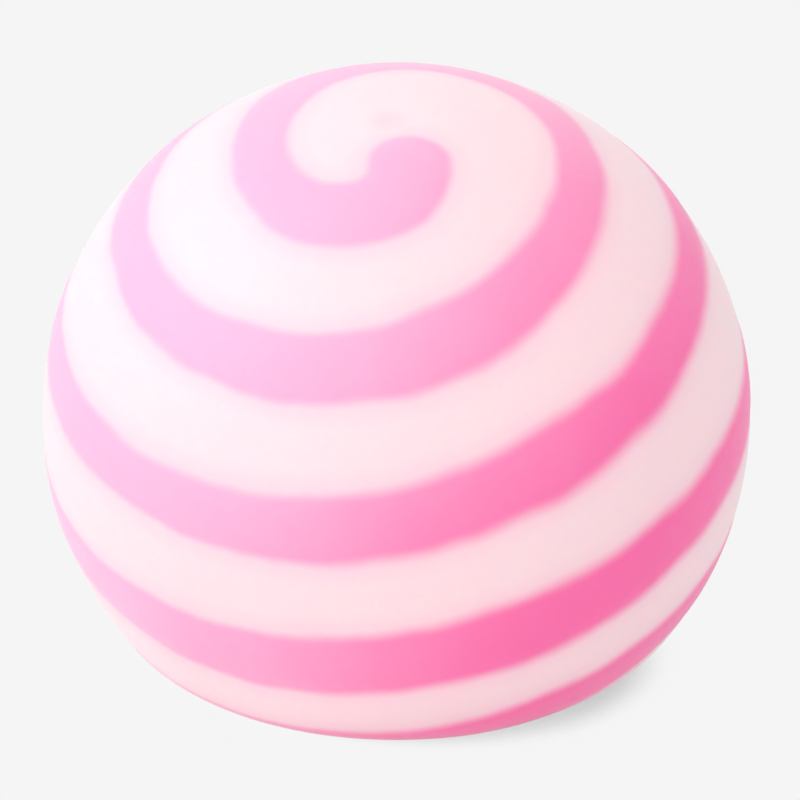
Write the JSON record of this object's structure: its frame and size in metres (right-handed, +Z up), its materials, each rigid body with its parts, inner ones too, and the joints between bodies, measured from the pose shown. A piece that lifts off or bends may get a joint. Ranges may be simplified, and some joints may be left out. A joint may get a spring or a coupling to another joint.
{
  "type": "squishy ball",
  "caption": "Soft filled squeeze ball that sags on its own flat patch, with a printed spiral stripe and a sealed filling port in the crown; it flattens when pressed and rises again.",
  "frame": {"origin": "middle of the flat patch on which the ball rests", "axes": "+Z up, -Y towards the front that the picture shows, +X to the right"},
  "size_m": [0.0703, 0.0704, 0.0589],
  "materials": {
    "skin": "soft thermoplastic rubber, matte and powdery, faintly see-through",
    "stripe": "matte pink print with soft edges",
    "filling": "milky soft gel",
    "plug": "soft thermoplastic rubber",
    "sealant": "cured clear sealant"
  },
  "bodies": {
    "ball": {"skin": "skin", "spiral_stripe": "stripe", "filling": "filling"},
    "plug": {"fill_plug": "plug", "plug_seal": "sealant"}
  },
  "joints": [
    {"name": "squeeze", "type": "slide", "parent": "ball", "child": "plug", "axis": [0, 0, -1], "range_m": [0, 0.022], "stiffness_N_per_m": 400, "deforming": ["skin", "spiral_stripe", "filling"]}
  ]
}
